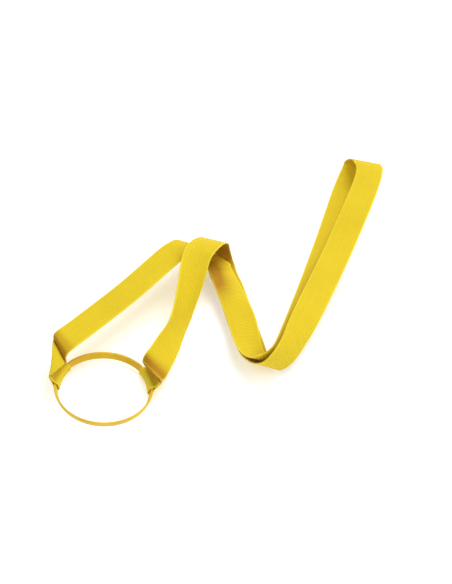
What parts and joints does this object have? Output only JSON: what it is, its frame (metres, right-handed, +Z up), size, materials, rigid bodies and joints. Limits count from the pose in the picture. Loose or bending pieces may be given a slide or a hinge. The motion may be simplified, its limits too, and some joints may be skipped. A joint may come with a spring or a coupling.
{
  "type": "drink holder neck lanyard",
  "caption": "Neck lanyard of flat ribbed webbing whose two ends are sewn round a flexible ring that grips a cup or bottle neck, laid in soft folds.",
  "frame": {"origin": "centre of the ring's bore", "axes": "+Z up from the table that the lanyard lies on, +Y away from the ring towards the far bend of the strap, +X from the left sewn loop to the right one"},
  "size_m": [0.2365, 0.2572, 0.0314],
  "materials": {
    "webbing": "matte ribbed weave",
    "thread": "twisted thread",
    "ring_rubber": "satin"
  },
  "bodies": {
    "strap": {"strap": "webbing", "left_loop": "webbing", "right_loop": "webbing", "left_stitching": "thread", "right_stitching": "thread"},
    "ring": {"ring": "ring_rubber"}
  },
  "joints": [
    {"name": "ring_turn", "type": "hinge", "parent": "strap", "child": "ring", "pos_m": [0, 0, 0], "axis": [0.087, 0.061, 0.9943], "continuous": true}
  ]
}
